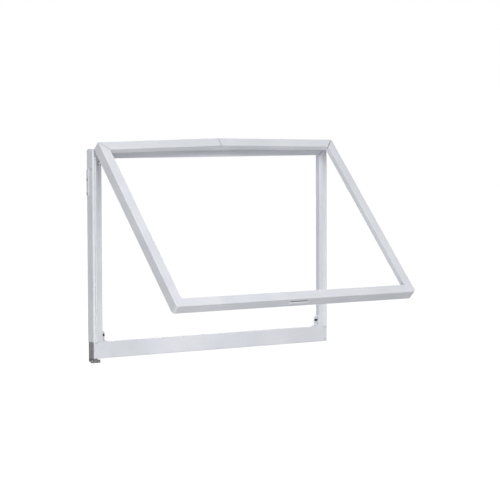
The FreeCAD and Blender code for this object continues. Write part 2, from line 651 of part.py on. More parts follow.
def make_crank():
    """Two-winged crank on the lower end of the rod."""
    z0, z1 = -CRANK_DROP, -CRANK_GAP
    hub = rod(CRANK_HUB_R, (ROD_X, BOX_MID_Y, z0), (0, 0, 1), z1 - z0)
    half = CRANK_SPAN / 2 - CRANK_WING_R
    height = 2 * CRANK_WING_R
    wing = box(ROD_X - half, ROD_X + half, BOX_MID_Y - CRANK_WING_HALF, BOX_MID_Y + CRANK_WING_HALF,
               z0, z0 + height)
    for side in (-1, 1):
        wing = wing.fuse(rod(CRANK_WING_R, (ROD_X + side * half, BOX_MID_Y, z0), (0, 0, 1), height))
    handle = hub.fuse(wing).removeSplitter()
    handle = handle.cut(rod(ROD_R, (ROD_X, BOX_MID_Y, z0 + CRANK_END), (0, 0, 1), CRANK_DROP))
    seat = (ROD_X, BOX_MID_Y - ROD_R, -SET_SCREW_DROP)
    length = CRANK_HUB_R - SET_SCREW_SINK - ROD_R
    parts["crank_handle"] = handle.cut(rod(SET_SCREW_R, seat, (0, -1, 0), length + 2))
    parts["crank_set_screw"] = rod(SET_SCREW_R, seat, (0, -1, 0), length)


# ---- housing and bearings -------------------------------------------------------------------------
def bush(z, flange_z):
    """Flanged bush of the rod, from z up by BUSH_LENGTH."""
    body = rod(BUSH_R, (ROD_X, BOX_MID_Y, z), (0, 0, 1), BUSH_LENGTH)
    flange = rod(BUSH_R + BUSH_FLANGE, (ROD_X, BOX_MID_Y, flange_z), (0, 0, 1), BUSH_FLANGE)
    bore = rod(ROD_R + PIN_CLEAR / 2, (ROD_X, BOX_MID_Y, z - BUSH_LENGTH), (0, 0, 1), 3 * BUSH_LENGTH)
    return body.fuse(flange).removeSplitter().cut(bore)


def make_housing():
    x0, x1 = -HALF_W, HOUSING_X1
    y0, y1 = FRONT + WALL + FIT, -HOUSING_BACK
    lip, drop = HOUSING_LIP
    shell = box(x0, x1, y0, y1, 0, SILL_FACE).fuse(box(x0, x1, y1 - lip, y1, -drop, 0)).removeSplitter()
    edges = [e for e in shell.Edges if e.BoundBox.ZLength > SILL_FACE - 1e-6 and e.BoundBox.XMax < x0 + 1]
    shell = shell.makeFillet(HOUSING_R, edges)
    r = HOUSING_HEEL_R
    heel = box(x0 - 1, x1 + 1, y1 - r, y1 + 1, -drop - 1, r - drop)
    heel = heel.cut(rod(r, (x0 - 2, y1 - r, r - drop), (1, 0, 0), x1 - x0 + 4))
    shell = shell.cut(heel)
    pocket = box(x0 + HOUSING_WALL, x1 - HOUSING_WALL, y0 + WALL, y1 + 1,
                 BUSH_LENGTH, SILL_FACE - BUSH_LENGTH)
    shell = shell.cut(pocket)
    shell = shell.cut(rod(BUSH_R, (ROD_X, BOX_MID_Y, -1), (0, 0, 1), SILL_FACE + 2))
    from_y, to_y, from_z, to_z = HOUSING_SLOT
    shell = shell.cut(box(x0 - 1, x0 + HOUSING_WALL + 1, BOX_MID_Y + from_y, BOX_MID_Y + to_y, from_z, to_z))
    parts["crank_housing"] = shell
    parts["rod_bush_lower"] = bush(0, BUSH_LENGTH)
    parts["rod_bush_upper"] = bush(SILL_FACE - BUSH_LENGTH, SILL_FACE - BUSH_LENGTH - BUSH_FLANGE)
    spots = [((x0, y1 - HOUSING_SCREW_IN, z), (1, 0, 0)) for z in HOUSING_SCREWS_Z]
    for spot in spots:
        drill(screw_hole(HOUSING_SCREW, *spot), "crank_housing")
    parts["housing_screws"] = group([screw(HOUSING_SCREW, *spot) for spot in spots])


def make_bearing_block():
    """Bracket in the jamb that carries the rod's top end and the cross shaft."""
    y0, y1 = FRONT + WALL + FIT, BOX_BACK - WALL - FIT
    floor_top = SHAFT_Z - MITRE_R - BLOCK_DROP
    floor = box(-HALF_W + WALL + FIT, BLOCK_X1, y0, y1, floor_top - BLOCK_FLOOR, floor_top)
    wall = box(BLOCK_X1 - BLOCK_WALL, BLOCK_X1, y0, y1, floor_top, SHAFT_Z + BLOCK_RISE)
    block = floor.fuse(wall).removeSplitter()
    rod_bore = rod(ROD_R + PIN_CLEAR / 2, (ROD_X, BOX_MID_Y, floor_top - 2 * BLOCK_FLOOR),
                   (0, 0, 1), 3 * BLOCK_FLOOR)
    shaft_bore = rod(SHAFT_R + PIN_CLEAR / 2, (BLOCK_X1 - 2 * BLOCK_WALL, BOX_MID_Y, SHAFT_Z),
                     (1, 0, 0), 3 * BLOCK_WALL)
    parts["bearing_block"] = block.cut(rod_bore).cut(shaft_bore)
    spot = ((-HALF_W, BOX_MID_Y, floor_top - BLOCK_FLOOR / 2), (1, 0, 0))
    parts["bearing_block_screw"] = screw(BLOCK_SCREW, *spot)
    drill(screw_hole(BLOCK_SCREW, *spot), "bearing_block", "frame_jamb_left")


# ---- quadrant --------------------------------------------------------------------------------------
def make_quadrant():
    """Toothed arc on the sash, centred on the hinge line, with a foot on the stile."""
    m = QUAD_MODULE
    x0 = QUAD_X - QUAD_THICK / 2
    root = QUAD_R - QUAD_DEDENDUM * m
    inner = root - QUAD_BAND
    step = 360.0 / QUAD_TEETH
    first = math.ceil((-REST_OPEN - SPARE_ANGLE) / step)
    last = math.floor((FULL_OPEN - REST_OPEN + SPARE_ANGLE) / step)
    phase = MESH_ANGLE + REST_OPEN + step / 2
    outline = gear_outline(QUAD_R, QUAD_TEETH, root, QUAD_R + QUAD_ADDENDUM * m,
                           TOOTH * m - BACKLASH / 2, phase, first, last - first)
    teeth = [Vector(x0, HINGE.y + a, HINGE.z + b) for a, b in outline]
    start, end = math.atan2(outline[0][1], outline[0][0]), math.atan2(outline[-1][1], outline[-1][0])
    foot_angle = -math.pi / 2 - math.asin((SASH_BACK - SASH_BOX_BACK - 1) / root)

    def at(radius, angle):
        return Vector(x0, HINGE.y + radius * math.cos(angle), HINGE.z + radius * math.sin(angle))

    edges = list(Part.makePolygon(teeth).Edges)
    edges.append(Part.LineSegment(teeth[-1], at(inner, end)).toShape())
    edges.append(Part.Arc(at(inner, end), at(inner, (end + foot_angle) / 2), at(inner, foot_angle)).toShape())
    edges.append(Part.LineSegment(at(inner, foot_angle), at(root, foot_angle)).toShape())
    edges.append(Part.Arc(at(root, foot_angle), at(root, (foot_angle + start) / 2), teeth[0]).toShape())
    arm = Part.Face(Part.Wire(edges)).extrude(Vector(QUAD_THICK, 0, 0))

    back = SASH_BOX_BACK
    centre_z = HINGE.z - (root + inner) / 2 * math.cos(foot_angle + math.pi / 2)
    left, width, height, thick = QUAD_FOOT
    foot = box(QUAD_X - left, QUAD_X - left + width, back, back + thick,
               centre_z - height / 2, centre_z + height / 2)
    height, rib_thick = QUAD_RIB
    rib = box(x0, x0 + QUAD_THICK, back, back + rib_thick, centre_z - height / 2, centre_z + height / 2)
    arm = arm.fuse(rib).fuse(foot).removeSplitter()
    parts["drive_quadrant"] = opened(arm.cut(box(-HALF_W, 0, SASH_FRONT, back, 0, FRAME_H)))
    spots = [((QUAD_X + QUAD_SCREW_SIDE, back + thick, centre_z + side * QUAD_SCREW_PITCH / 2), (0, -1, 0))
             for side in (-1, 1)]
    parts["quadrant_screws"] = opened(group([screw(QUAD_SCREW, *spot) for spot in spots]))
    for spot in spots:
        drill(opened(screw_hole(QUAD_SCREW, *spot)), "drive_quadrant", "sash_stile_left")


# ---- brackets, bumpers and straps --------------------------------------------------------------------
def corner_bracket():
    """Left bracket: ties jamb and sill and carries a bumper in its ear."""
    x0, y0, y1 = -HALF_W + JAMB_FACE, FRONT + BRACKET_FRONT, BOX_BACK - 1
    z0, z1 = SILL_FACE, SILL_FACE + BRACKET_H
    upright = box(x0, x0 + BRACKET_THICK, y0, y1, z0, z1)
    foot = box(x0, x0 + BRACKET_FOOT, y0, y1, z0, z0 + BRACKET_THICK)
    ear_y, x1 = FRONT + EAR_BACK, x0 + BRACKET_REACH
    ear = prism([(x0, ear_y, z0), (x1, ear_y, z0), (x1, ear_y, z1 - BRACKET_SNIP[1]),
                 (x0 + BRACKET_SNIP[0], ear_y, z1), (x0, ear_y, z1)], (0, BRACKET_THICK, 0))
    return upright.fuse(foot).fuse(ear).removeSplitter()


def make_corner_brackets():
    inner_x = -HALF_W + JAMB_FACE + BRACKET_THICK
    ear_y, ear_back = FRONT + EAR_BACK, FRONT + EAR_BACK + BRACKET_THICK
    x, z = inner_x + BUMPER_R + BUMPER_SIDE, SILL_FACE + BRACKET_H * BUMPER_UP
    stem = rod(BUMPER_STEM_R, (x, ear_y, z), (0, 1, 0), BRACKET_THICK)
    bracket = corner_bracket().cut(stem)
    cone = Part.makeCone(BUMPER_R, BUMPER_R - BUMPER_TAPER, BUMPER_LENGTH,
                         Vector(x, ear_y, z), Vector(0, -1, 0))
    button = rod(BUMPER_STEM_R + BUMPER_BUTTON[0], (x, ear_back, z), (0, 1, 0), BUMPER_BUTTON[1])
    bumper = cone.fuse(stem).fuse(button).removeSplitter()
    y = FRONT + BRACKET_SCREW_BACK
    spots = [((inner_x, y, SILL_FACE + up), (-1, 0, 0)) for up in BRACKET_SCREWS_UP]
    spots.append(((inner_x + BRACKET_SCREW_OUT, y, SILL_FACE + BRACKET_THICK), (0, 0, -1)))
    screws = group([screw(BRACKET_SCREW, *spot) for spot in spots])
    for name, place in (("left", lambda s: s), ("right", mirror_x)):
        parts[f"corner_bracket_{name}"] = place(bracket)
        parts[f"bumper_{name}"] = place(bumper)
        parts[f"bracket_screws_{name}"] = place(screws)
        for spot in spots:
            drill(place(screw_hole(BRACKET_SCREW, *spot)),
                  f"corner_bracket_{name}", f"frame_jamb_{name}", "frame_sill")


def make_straps():
    x, y = -HALF_W - STRAP_THICK, -STRAP_W / 2
    parts["wall_strap_left"] = box(x, -HALF_W, -STRAP_W, 0, STRAP_Z0, STRAP_Z1)
    parts["wall_strap_right"] = mirror_x(parts["wall_strap_left"])
    spots = [((x, y, z), (1, 0, 0)) for z in STRAP_SCREWS_Z]
    screws = group([screw(STRAP_SCREW, *spot) for spot in spots])
    for name, place in (("left", lambda s: s), ("right", mirror_x)):
        parts[f"strap_screws_{name}"] = place(screws)
        for spot in spots:
            drill(place(screw_hole(STRAP_SCREW, *spot)), f"wall_strap_{name}", f"frame_jamb_{name}")


def main():
    make_frame()
    for side, name in ((-1, "left"), (1, "right")):
        parts[f"frame_key_{name}"] = frame_key(side)
    make_seals()
    make_sash()
    make_hinge()
    make_cross_shaft()
    make_drive_rod()
    make_crank()
    make_housing()
    make_bearing_block()
    make_quadrant()
    make_corner_brackets()
    make_straps()
    os.makedirs("parts", exist_ok=True)
    for name, shape in parts.items():
        bad = [s for s in shape.Solids if not s.isValid() or s.Volume <= 0]
        state = "BAD" if bad or not shape.Solids else ""
        print(f"{name:24s} solids {len(shape.Solids):2d} volume {shape.Volume:11.1f}", state)
        shape.exportStep(f"parts/{name}.step")


main()
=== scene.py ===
"""Looks of a top-hung window: coated extrusions, seals, brackets, screws and the crank drive."""
import json
import logging
import math
from dataclasses import dataclass, field
from enum import Enum
from typing import Any, Dict, List, Optional, Sequence, Tuple

import bmesh
import bpy
import numpy as np
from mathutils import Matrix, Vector

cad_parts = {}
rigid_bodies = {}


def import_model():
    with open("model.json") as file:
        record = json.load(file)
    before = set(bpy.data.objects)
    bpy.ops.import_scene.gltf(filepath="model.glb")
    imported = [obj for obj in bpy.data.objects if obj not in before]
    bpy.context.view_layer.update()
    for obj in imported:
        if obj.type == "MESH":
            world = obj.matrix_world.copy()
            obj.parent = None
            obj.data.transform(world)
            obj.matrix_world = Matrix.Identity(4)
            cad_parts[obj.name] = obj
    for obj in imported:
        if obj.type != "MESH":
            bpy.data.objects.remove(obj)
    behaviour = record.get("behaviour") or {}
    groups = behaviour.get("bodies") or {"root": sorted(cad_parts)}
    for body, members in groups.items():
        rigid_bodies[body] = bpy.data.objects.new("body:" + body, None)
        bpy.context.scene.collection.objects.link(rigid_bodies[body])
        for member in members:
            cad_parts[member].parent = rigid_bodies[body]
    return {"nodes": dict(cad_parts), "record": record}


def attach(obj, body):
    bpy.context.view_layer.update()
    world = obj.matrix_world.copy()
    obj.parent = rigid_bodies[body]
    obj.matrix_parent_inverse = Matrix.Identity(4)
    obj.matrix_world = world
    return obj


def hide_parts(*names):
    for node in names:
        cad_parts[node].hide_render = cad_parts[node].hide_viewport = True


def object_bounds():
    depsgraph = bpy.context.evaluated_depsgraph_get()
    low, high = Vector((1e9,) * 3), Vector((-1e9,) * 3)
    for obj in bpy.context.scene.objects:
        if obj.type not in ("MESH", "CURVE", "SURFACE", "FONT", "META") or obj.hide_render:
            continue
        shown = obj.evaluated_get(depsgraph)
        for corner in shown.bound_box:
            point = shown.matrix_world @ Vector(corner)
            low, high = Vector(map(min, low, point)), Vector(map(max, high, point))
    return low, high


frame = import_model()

LOG = logging.getLogger("window")
CAD_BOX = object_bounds()
MM = 0.001
WELD = 0.002 * MM         # corners of loose triangles nearer than this are one
RIM_SHARE = 0.97          # a screw's corners beyond this share of its radius are its head's rim
TIP_MM = 0.01             # a screw's corners this near its far end are its tip
Colour = Tuple[float, float, float]
Socket = bpy.types.NodeSocket


class Slot(Enum):
    """The record's material slots."""

    WHITE_COAT = "white_coat"
    MILL_ALUMINIUM = "mill_aluminium"
    SEAL_RUBBER = "seal_rubber"
    BLACK_RUBBER = "black_rubber"
    SCREW_STEEL = "screw_steel"
    DARK_CASTING = "dark_casting"
    ZINC_CASTING = "zinc_casting"
    NYLON = "nylon"
    GEAR_STEEL = "gear_steel"


class Axis(Enum):
    """The direction in which an extruded or drawn piece was pulled."""

    X = 0
    Y = 1
    Z = 2


# ---- shader building ------------------------------------------------------------------------------
class Value:
    """A number that varies over the surface; arithmetic on it adds Math nodes."""

    def __init__(self, board: "Board", socket: Socket) -> None:
        """Wraps one output socket."""
        self.board = board
        self.socket = socket

    def _math(self, operation: str, first: Any, second: Any) -> "Value":
        """The result of one Math node."""
        made = self.board.node("ShaderNodeMath", {"operation": operation}, {0: first, 1: second})
        return Value(self.board, made.outputs[0])

    def __add__(self, other: Any) -> "Value":
        """Sum."""
        return self._math("ADD", self, other)

    __radd__ = __add__

    def __mul__(self, other: Any) -> "Value":
        """Product."""
        return self._math("MULTIPLY", self, other)

    __rmul__ = __mul__

    def __sub__(self, other: Any) -> "Value":
        """Difference."""
        return self._math("SUBTRACT", self, other)

    def __rsub__(self, other: Any) -> "Value":
        """Difference with this value second."""
        return self._math("SUBTRACT", other, self)

    def __pow__(self, other: Any) -> "Value":
        """Power."""
        return self._math("POWER", self, other)

    def over(self, low: float, high: float) -> "Value":
        """Spreads low to high over 0 to 1 and clamps."""
        made = self.board.node("ShaderNodeMapRange", {"clamp": True}, {0: self, 1: low, 2: high})
        return Value(self.board, made.outputs[0])


class Board:
    """One material's node tree."""

    def __init__(self, name: str) -> None:
        """Starts a material with a Principled shader.

        Args:
            name: The material's name.
        """
        self.material = bpy.data.materials.new(name)
        self.material.use_nodes = True
        self.tree = self.material.node_tree
        self.shader = self.tree.nodes["Principled BSDF"]
        self.place = self.node("ShaderNodeTexCoord").outputs["Object"]

    def node(self, kind: str, settings: Optional[Dict[str, Any]] = None,
             inputs: Optional[Dict[Any, Any]] = None) -> bpy.types.Node:
        """Adds any node.

        Args:
            kind: The node's type.
            settings: Attributes that are set first.
            inputs: Numbers, Values or sockets by input name or index.

        Returns:
            The new node.
        """
        made = self.tree.nodes.new(kind)
        for key, value in (settings or {}).items():
            setattr(made, key, value)
        for key, value in (inputs or {}).items():
            self.feed(made.inputs[key], value)
        return made

    def feed(self, socket: Socket, value: Any) -> None:
        """Links a Value or socket to an input, or sets a constant there.

        Args:
            socket: The input.
            value: A Value, an output socket or a constant.
        """
        if isinstance(value, Value):
            value = value.socket
        if isinstance(value, Socket):
            self.tree.links.new(value, socket)
        else:
            socket.default_value = value

    def noise(self, scale: float, detail: float = 3.0, stretch: Sequence[float] = (1, 1, 1)) -> Value:
        """Noise in object space.

        Args:
            scale: Cells per metre.
            detail: Octaves.
            stretch: Factors on the three axes; under 1 draws the pattern out.

        Returns:
            The noise, about 0.5 on average.
        """
        mapped = self.node("ShaderNodeMapping", {}, {"Vector": self.place, "Scale": tuple(stretch)})
        made = self.node("ShaderNodeTexNoise", {},
                         {"Vector": mapped.outputs[0], "Scale": scale, "Detail": detail})
        return Value(self, made.outputs[0])

    def cells(self, scale: float) -> Value:
        """Distance to the nearest of scattered points, for pits and grains."""
        made = self.node("ShaderNodeTexVoronoi", {}, {"Vector": self.place, "Scale": scale})
        return Value(self, made.outputs["Distance"])

    def blend(self, mask: Value, low: Colour, high: Colour) -> Socket:
        """A colour between low and high."""
        return self.mixed(mask, (*low, 1.0), (*high, 1.0))

    def mixed(self, mask: Value, low: Any, high: Any) -> Socket:
        """A mix of two colours, each with its alpha or from a socket."""
        made = self.node("ShaderNodeMix", {"data_type": "RGBA"}, {0: mask, 6: low, 7: high})
        return made.outputs[2]

    def relief(self, height: Value, depth_mm: float, strength: float = 1.0) -> None:
        """Bumps the surface.

        Args:
            height: The height, 0 to 1.
            depth_mm: Height of 1, in millimetres.
            strength: The Bump node's strength.
        """
        made = self.node("ShaderNodeBump", {},
                         {"Height": height, "Distance": depth_mm * MM, "Strength": strength})
        self.feed(self.shader.inputs["Normal"], made.outputs[0])

    def constant(self, **values: float) -> None:
        """Sets constants on the shader; an underscore stands for a space."""
        for key, value in values.items():
            self.shader.inputs[key.replace("_", " ")].default_value = value


@dataclass(frozen=True)
class PowderCoat:
    """Baked white powder on aluminium: fine orange peel, slight clouding, dust in a few spots."""

    name: str = "white_coat"
    light: Colour = (0.805, 0.825, 0.875)
    dull: Colour = (0.745, 0.765, 0.815)
    dust: Colour = (0.60, 0.59, 0.57)
    dust_share: float = 0.25
    dust_per_m: float = 320.0
    cloud_per_m: float = 9.0
    peel_per_m: float = 900.0
    peel_mm: float = 0.035
    least_rough: float = 0.26
    coat: float = 0.12

    def build(self) -> bpy.types.Material:
        """Makes the material.

        Returns:
            The material.
        """
        board = Board(self.name)
        cloud = board.noise(self.cloud_per_m, detail=4.0)
        peel = board.noise(self.peel_per_m, detail=2.0)
        speck = board.noise(self.dust_per_m, detail=5.0).over(0.70, 0.80)
        tint = board.blend(cloud.over(0.35, 0.65), self.light, self.dull)
        dusted = board.mixed(speck * self.dust_share, tint, (*self.dust, 1.0))
        board.feed(board.shader.inputs["Base Color"], dusted)
        board.feed(board.shader.inputs["Roughness"], cloud * 0.12 + peel * 0.10 + self.least_rough)
        board.relief(peel + cloud * 0.3, self.peel_mm, strength=0.6)
        board.constant(Coat_Weight=self.coat, Coat_Roughness=0.25, Specular_IOR_Level=0.5)
        return board.material


@dataclass(frozen=True)
class DrawnMetal:
    """Bare metal with fine lines along the way it was drawn, rolled or turned."""

    name: str
    bright: Colour
    dark: Colour
    axis: Axis = Axis.X
    roughness: float = 0.32
    film: float = 0.0
    line_per_m: float = 1400.0
    line_stretch: float = 0.02
    line_mm: float = 0.012
    stain_per_m: float = 60.0
    pattern_rough: float = 0.18       # about what stains and lines add on average

    def build(self) -> bpy.types.Material:
        """Makes the material.

        Returns:
            The material.
        """
        board = Board(self.name)
        stretch = [1.0, 1.0, 1.0]
        stretch[self.axis.value] = self.line_stretch
        lines = board.noise(self.line_per_m, stretch=stretch)
        stain = board.noise(self.stain_per_m, detail=5.0)
        mask = (lines * 0.6 + stain * 0.4).over(0.35, 0.65)
        board.feed(board.shader.inputs["Base Color"], board.blend(mask, self.dark, self.bright))
        board.feed(board.shader.inputs["Roughness"],
                   stain * 0.25 + lines * 0.15 + (self.roughness - self.pattern_rough))
        board.relief(lines, self.line_mm, strength=0.5)
        board.constant(Metallic=1.0, Coat_Weight=self.film, Coat_Roughness=0.2)
        return board.material


@dataclass(frozen=True)
class Casting:
    """Die-cast metal: pebbled skin, with bare metal where handling has worn it."""

    name: str
    skin: Colour
    worn: Colour
    wear: float = 0.5
    grain_per_m: float = 1300.0
    wear_per_m: float = 170.0
    dent_per_m: float = 240.0
    skin_mm: float = 0.06

    def build(self) -> bpy.types.Material:
        """Makes the material.

        Returns:
            The material.
        """
        board = Board(self.name)
        grain = board.cells(self.grain_per_m)
        spread = board.noise(self.wear_per_m, detail=6.0)
        patch = spread.over(0.72 - 0.2 * self.wear, 0.80 - 0.2 * self.wear)
        board.feed(board.shader.inputs["Base Color"], board.blend(patch, self.skin, self.worn))
        board.feed(board.shader.inputs["Roughness"], 0.58 - patch * 0.25 + grain * 0.10)
        board.feed(board.shader.inputs["Metallic"], patch * 0.5 + 0.5)
        board.relief(grain + board.noise(self.dent_per_m), self.skin_mm, strength=0.6)
        return board.material


@dataclass(frozen=True)
class Polymer:
    """Rubber or nylon: matt, with flow marks and fine pits."""

    name: str
    base: Colour
    aged: Colour
    roughness: float
    scatter: float = 0.0
    scatter_mm: float = 1.5
    flow_per_m: float = 45.0
    pit_per_m: float = 1700.0
    pit_mm: float = 0.03
    flow_rough: float = 0.14

    def build(self) -> bpy.types.Material:
        """Makes the material.

        Returns:
            The material.
        """
        board = Board(self.name)
        flow = board.noise(self.flow_per_m, detail=5.0)
        pits = board.cells(self.pit_per_m)
        board.feed(board.shader.inputs["Base Color"], board.blend(flow.over(0.3, 0.7), self.base, self.aged))
        board.feed(board.shader.inputs["Roughness"],
                   flow * self.flow_rough + (self.roughness - self.flow_rough / 2))
        board.relief(pits * 0.6 + flow * 0.4, self.pit_mm, strength=0.5)
        board.constant(Subsurface_Weight=self.scatter, Subsurface_Scale=self.scatter_mm * MM)
        return board.material


FINISHES = {
    Slot.WHITE_COAT: PowderCoat(),
    Slot.MILL_ALUMINIUM: DrawnMetal("mill_aluminium", (0.70, 0.71, 0.73), (0.50, 0.51, 0.53)),
    Slot.SEAL_RUBBER: Polymer("seal_rubber", (0.80, 0.81, 0.84), (0.76, 0.77, 0.80), 0.55),
    Slot.BLACK_RUBBER: Polymer("black_rubber", (0.018, 0.018, 0.019), (0.05, 0.05, 0.05), 0.66),
    Slot.SCREW_STEEL: DrawnMetal("screw_steel", (0.66, 0.66, 0.67), (0.38, 0.38, 0.39), Axis.Z, 0.30),
    Slot.DARK_CASTING: Casting("dark_casting", (0.40, 0.40, 0.405), (0.58, 0.58, 0.59), 0.35),
    Slot.ZINC_CASTING: Casting("zinc_casting", (0.26, 0.26, 0.265), (0.60, 0.60, 0.61), 0.8),
    Slot.NYLON: Polymer("nylon", (0.80, 0.78, 0.71), (0.70, 0.67, 0.58), 0.42, 0.15),
    Slot.GEAR_STEEL: DrawnMetal("gear_steel", (0.52, 0.52, 0.54), (0.26, 0.25, 0.24), Axis.Z, 0.34, 0.4),
}


class Paintbox:
    """Makes each finish once and dresses pieces in it."""

    def __init__(self) -> None:
        """Builds every finish."""
        self.made = {slot: finish.build() for slot, finish in FINISHES.items()}
        self.slots = {s["node"]: Slot(s["material_slot"]) for s in frame["record"]["subparts"]}

    def dress(self, piece: bpy.types.Object, slot: Slot) -> None:
        """Gives a piece one finish.

        Args:
            piece: The piece.
            slot: Its material slot.
        """
        piece.data.materials.clear()
        piece.data.materials.append(self.made[slot])

    def dress_nodes(self) -> None:
        """Gives every CAD node the finish of its slot."""
        for name, piece in frame["nodes"].items():
            piece.data.materials.clear()
            piece.data.materials.append(self.made[self.slots[name]])


def body_of(node: str) -> str:
    """The body that a CAD node rides on."""
    return next(b for b, names in frame["record"]["behaviour"]["bodies"].items() if node in names)


# ---- pieces that keep the CAD shape with softened edges -------------------------------------------------
@dataclass
class SoftEdged:
    """Pieces whose real arrises are slightly rounded, made from the CAD shape."""

    radius_mm: float
    nodes: Sequence[str]
    steps: int = 2
    sharp_deg: float = 32.0
    flat_deg: float = 0.5

    def build(self, paint: Paintbox) -> List[bpy.types.Object]:
        """Makes one rounded piece per node.

        Args:
            paint: The finishes.

        Returns:
            The pieces.
        """
        return [self._round(node, paint) for node in self.nodes]

    def _round(self, node: str, paint: Paintbox) -> bpy.types.Object:
        """Rounds the edges of a copy of one node's mesh.

        Args:
            node: The CAD node.
            paint: The finishes.

        Returns:
            The rounded piece.
        """
        mesh = frame["nodes"][node].data.copy()
        mesh.name = f"{node}_finished"
        bm = bmesh.new()
        bm.from_mesh(mesh)
        bmesh.ops.remove_doubles(bm, verts=bm.verts, dist=WELD)
        bmesh.ops.dissolve_limit(bm, angle_limit=math.radians(self.flat_deg), verts=bm.verts,
                                 edges=bm.edges)
        for face in bm.faces:
            face.smooth = True
        bm.to_mesh(mesh)
        bm.free()
        piece = bpy.data.objects.new(f"{node}_finished", mesh)
        bpy.context.scene.collection.objects.link(piece)
        bevel = piece.modifiers.new("arris", "BEVEL")
        bevel.width = self.radius_mm * MM
        bevel.segments = self.steps
        bevel.limit_method = "ANGLE"
        bevel.angle_limit = math.radians(self.sharp_deg)
        bevel.miter_outer = "MITER_ARC"
        even = piece.modifiers.new("even shading", "WEIGHTED_NORMAL")
        even.mode = "FACE_AREA"
        even.weight = 100
        paint.dress(piece, paint.slots[node])
        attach(piece, body_of(node))
        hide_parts(node)
        LOG.info("%s rounded by %.2f mm", node, self.radius_mm)
        return piece


# ---- screws ---------------------------------------------------------------------------------------------
@dataclass(frozen=True)
class ScrewPlace:
    """One screw as the CAD holds it, in metres."""

    seat: Vector
    axis: Vector
    head_radius: float
    head_height: float
    shank_radius: float
    length: float


def loose_parts(mesh: bpy.types.Mesh) -> List[Tuple[np.ndarray, np.ndarray, np.ndarray]]:
    """Splits a mesh into its separate solids.

    Args:
        mesh: A node's mesh.

    Returns:
        For each solid, its corners, its triangles' normals and their areas.
    """
    bm = bmesh.new()
    bm.from_mesh(mesh)
    bmesh.ops.remove_doubles(bm, verts=bm.verts, dist=WELD)
    bm.verts.ensure_lookup_table()
    seen, found = set(), []
    for start in bm.verts:
        if start.index in seen:
            continue
        stack, members = [start], []
        seen.add(start.index)
        while stack:
            vert = stack.pop()
            members.append(vert)
            for edge in vert.link_edges:
                other = edge.other_vert(vert)
                if other.index not in seen:
                    seen.add(other.index)
                    stack.append(other)
        faces = {f for v in members for f in v.link_faces}
        found.append((np.array([v.co[:] for v in members]), np.array([f.normal[:] for f in faces]),
                      np.array([f.calc_area() for f in faces])))
    bm.free()
    return found


def measure_screw(points: np.ndarray, normals: np.ndarray, areas: np.ndarray) -> ScrewPlace:
    """Finds a screw's axis and sizes: its normals spread evenly in the two directions across it.

    Args:
        points: The screw's corners.
        normals: Its triangles' normals.
        areas: Its triangles' areas.

    Returns:
        The screw's place and sizes.
    """
    spread, vectors = np.linalg.eigh((normals * areas[:, None]).T @ normals)
    gaps = [abs(spread[1] - spread[2]), abs(spread[0] - spread[2]), abs(spread[0] - spread[1])]
    axis = vectors[:, int(np.argmin(gaps))]
    middle = (points.min(0) + points.max(0)) / 2
    for _ in range(2):
        along = (points - middle) @ axis
        across = points - middle - np.outer(along, axis)
        middle = middle + (across.min(0) + across.max(0)) / 2
    across = np.linalg.norm(points - middle - np.outer((points - middle) @ axis, axis), axis=1)
    along = (points - middle) @ axis
    wide = across > RIM_SHARE * across.max()
    if along[wide].mean() > (along.min() + along.max()) / 2:
        axis, along = -axis, -along
    seat = float(along[wide].max())
    shank = float(across[along > along.max() - TIP_MM * MM].max())
    return ScrewPlace(Vector(middle + axis * seat), Vector(axis), float(across.max()),
                      seat - float(along.min()), shank, float(along.max()) - seat)


